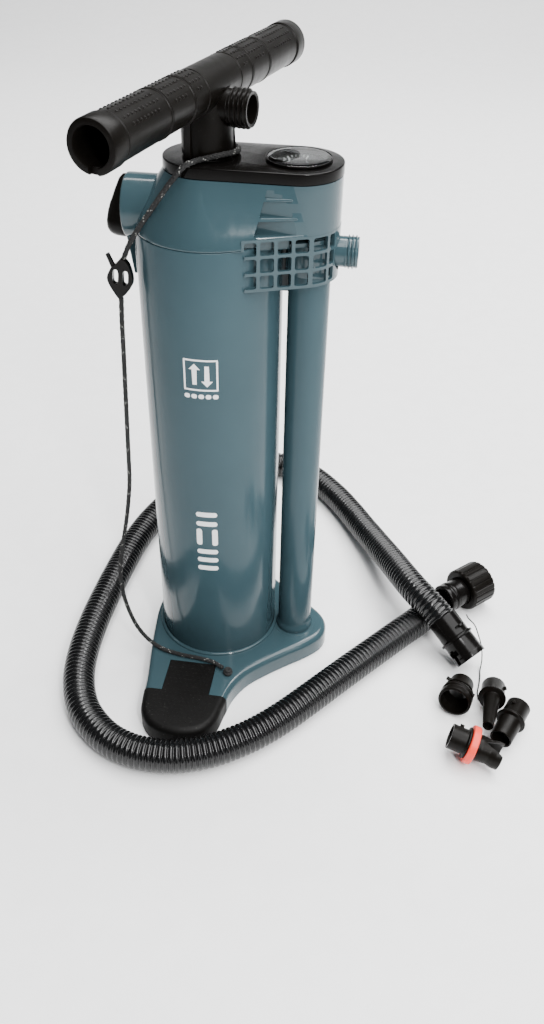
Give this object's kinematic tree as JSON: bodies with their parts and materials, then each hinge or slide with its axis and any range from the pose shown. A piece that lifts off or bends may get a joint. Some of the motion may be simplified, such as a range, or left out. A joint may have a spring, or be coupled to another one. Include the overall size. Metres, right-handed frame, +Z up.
{
  "type": "double action hand pump",
  "caption": "Upright double action hand pump with T handle, side delivery tube, pressure gauge, moulded base, rubber foot pads, lanyard and a loose hose with adapters.",
  "frame": {"origin": "on the main barrel axis at the floor, centre of the barrel under the base plate", "axes": "+Z up along the barrel, +X from the main barrel towards the side delivery tube"},
  "size_m": [0.4198, 0.455, 0.507],
  "materials": {
    "grey": "glossy slate blue grey",
    "black": "semi gloss black",
    "pad_rubber": "matte black",
    "hose": "glossy black, corrugated",
    "cord": "black braid",
    "steel": "satin",
    "rod": "satin",
    "natural": "natural white",
    "dial": "printed",
    "red": "satin red",
    "lens": "clear"
  },
  "bodies": {
    "pump_body": {"base_shell": "grey", "base_plate": "grey", "base_screw_1": "steel", "base_screw_2": "steel", "base_screw_3": "steel", "base_screw_4": "steel", "front_foot_pad": "pad_rubber", "rear_foot_pad": "pad_rubber", "main_barrel": "grey", "side_tube": "grey", "lower_end_plate": "black", "barrel_lower_seal": "pad_rubber", "lower_air_duct": "black", "head_housing": "grey", "outlet_manifold": "grey", "top_cover": "black", "rod_bush": "natural", "upper_end_plate": "black", "rod_seal": "pad_rubber", "gauge_case": "black", "gauge_dial": "dial", "gauge_lens": "lens", "lanyard_upper": "cord", "lanyard_lower": "cord", "lanyard_knot": "cord", "lanyard_hook": "black", "hose": "hose", "hose_cuff_a": "black", "union_washer": "pad_rubber", "bayonet_cuff": "black", "adapter_bayonet": "black", "adapter_cone": "black", "adapter_plain": "black", "adapter_boat": "black", "boat_adapter_ring": "red", "adapter_string": "cord"},
    "piston": {"piston_lower_half": "black", "piston_upper_half": "black", "piston_lower_seal": "pad_rubber", "piston_upper_seal": "pad_rubber", "piston_lower_flap": "pad_rubber", "piston_upper_flap": "pad_rubber"},
    "handle": {"piston_rod": "rod", "rod_nut": "steel", "rod_collar": "black", "handle_tee": "black"},
    "selector": {"selector_knob": "black", "selector_spool": "black"},
    "needle": {"gauge_needle": "red"},
    "upper_valve": {"upper_check_disc": "natural"},
    "lower_valve": {"lower_check_disc": "natural"},
    "union": {"union_nut": "black"}
  },
  "joints": [
    {"name": "piston_slide", "type": "slide", "parent": "pump_body", "child": "piston", "axis": [0, 0, 1], "range_m": [0, 0.335]},
    {"name": "rod_spin", "type": "hinge", "parent": "piston", "child": "handle", "pos_m": [0, 0, 0.03], "axis": [0, 0, 1], "continuous": true},
    {"name": "selector_turn", "type": "hinge", "parent": "pump_body", "child": "selector", "pos_m": [-0.058, 0, 0.411], "axis": [1, 0, 0], "range_deg": [0, 90]},
    {"name": "gauge_needle_turn", "type": "hinge", "parent": "pump_body", "child": "needle", "pos_m": [0.0617, 0, 0.446], "axis": [0, 0, -1], "range_deg": [0, 250], "stiffness_Nm_per_rad": 0.0001},
    {"name": "upper_valve_lift", "type": "slide", "parent": "pump_body", "child": "upper_valve", "axis": [0, 0, 1], "range_m": [0, 0.003]},
    {"name": "lower_valve_lift", "type": "slide", "parent": "pump_body", "child": "lower_valve", "axis": [0, 0, 1], "range_m": [0, 0.003]},
    {"name": "union_nut_spin", "type": "hinge", "parent": "pump_body", "child": "union", "pos_m": [0.23975, 0.07632, 0.02101], "axis": [0.7356, 0.6773, 0.0113], "continuous": true}
  ]
}
